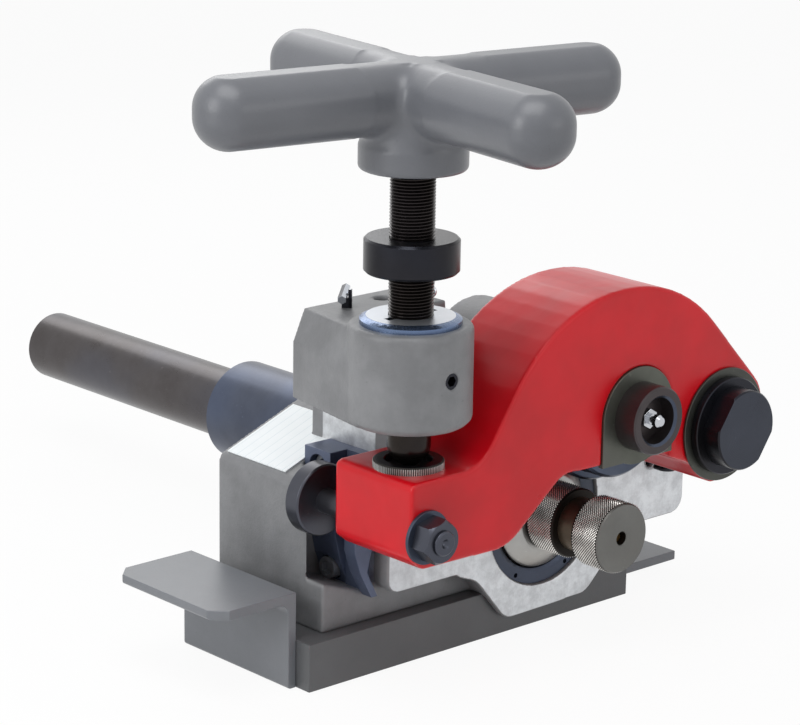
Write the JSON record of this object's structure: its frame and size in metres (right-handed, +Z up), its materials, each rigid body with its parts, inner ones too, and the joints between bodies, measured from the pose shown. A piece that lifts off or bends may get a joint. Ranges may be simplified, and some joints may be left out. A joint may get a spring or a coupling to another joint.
{
  "type": "pipe roll groover",
  "caption": "Hand-fed roll groover for steel pipe: cast frame, red swing arm with groove roll, knurled drive roll on a long shaft, feed screw with cross handle.",
  "frame": {"origin": "centre of the base bar's underside", "axes": "+X along the base bar from the screw to the pivot, -Y to the side of the rolls, +Y along the drive shaft to the machine, +Z up"},
  "size_m": [0.474, 0.762, 0.4095],
  "materials": {
    "bar_steel": "satin grey paint on mild steel",
    "rail_steel": "satin grey paint on angle steel",
    "casting": "grey painted cast iron, front faces machined bare",
    "red_casting": "gloss red paint on cast iron",
    "handle_grey": "satin grey paint on cast iron",
    "black_oxide": "black oxide",
    "blued_steel": "blued steel",
    "bare_steel": "bare turned steel",
    "knurled_steel": "knurled steel",
    "zinc_steel": "bright zinc plate",
    "bearing_steel": "ground bearing steel",
    "bronze": "plain bearing bronze",
    "seal_rubber": "matt nitrile",
    "label_white": "blank white plate"
  },
  "bodies": {
    "frame": {"base_bar": "bar_steel", "left_rail_angle": "rail_steel", "right_rail_angle": "rail_steel", "base_screws": "black_oxide", "frame_casting": "casting", "label_plate": "label_white", "guide_block": "black_oxide", "guide_block_screws": "bare_steel", "feed_nut": "blued_steel", "nut_set_screw": "black_oxide", "gauge_hook": "black_oxide", "eye_pin": "zinc_steel", "pivot_bolt": "black_oxide", "pivot_washer": "blued_steel", "pivot_spacer": "bare_steel", "return_spring": "black_oxide", "front_bearing_outer": "bearing_steel", "front_bearing_balls": "bearing_steel", "rear_bearing_outer": "bearing_steel", "rear_bearing_balls": "bearing_steel", "bearing_retainer": "black_oxide", "rear_seal": "seal_rubber"},
    "drive_line": {"drive_shaft": "blued_steel", "drive_roll": "knurled_steel", "drive_key": "bare_steel", "draw_bolt": "bronze", "shaft_sleeve": "blued_steel", "sleeve_set_screw": "black_oxide", "front_bearing_inner": "bearing_steel", "rear_bearing_inner": "bearing_steel"},
    "arm": {"swing_arm": "red_casting", "pivot_bush": "bronze", "roll_shaft": "black_oxide", "shaft_keeper": "bare_steel", "grease_nipple": "zinc_steel", "guide_stud": "blued_steel", "stud_washer": "blued_steel", "stud_nut": "blued_steel", "pressure_pad": "knurled_steel"},
    "upper_roll": {"groove_roll": "blued_steel", "roll_bushing": "bronze"},
    "screw": {"feed_screw": "black_oxide"},
    "collar": {"depth_collar": "black_oxide", "collar_set_screw": "black_oxide"},
    "cross": {"cross_handle": "handle_grey", "hub_set_screw": "black_oxide"},
    "ring": {"wire_ring": "zinc_steel"}
  },
  "joints": [
    {"name": "drive_spin", "type": "hinge", "parent": "frame", "child": "drive_line", "pos_m": [0.056, 0.1, 0.08], "axis": [0, 1, 0], "continuous": true},
    {"name": "arm_swing", "type": "hinge", "parent": "frame", "child": "arm", "pos_m": [0.146, -0.1, 0.142], "axis": [0, 1, 0], "range_deg": [-5.8, 4.7]},
    {"name": "roll_spin", "type": "hinge", "parent": "arm", "child": "upper_roll", "pos_m": [0.064, -0.1045, 0.163], "axis": [0, 1, 0], "continuous": true},
    {"name": "feed_travel", "type": "slide", "parent": "frame", "child": "screw", "axis": [0, 0, 1], "range_m": [-0.0252, 0.0202]},
    {"name": "collar_travel", "type": "slide", "parent": "screw", "child": "collar", "axis": [0, 0, 1], "range_m": [-0.001, 0.04]},
    {"name": "handle_turn", "type": "hinge", "parent": "screw", "child": "cross", "pos_m": [-0.107, -0.108, 0.386], "axis": [0, 0, 1], "range_deg": [-4500, 3600]},
    {"name": "ring_swing", "type": "hinge", "parent": "frame", "child": "ring", "pos_m": [-0.047, -0.06, 0.247], "axis": [0.866, 0.5, 0], "range_deg": [-70, 70]}
  ],
  "couplings": [
    {"joint": "feed_travel", "follows": "handle_turn", "m_per_rad": 0.00031831},
    {"joint": "arm_swing", "follows": "handle_turn", "ratio": 0.0012581}
  ]
}
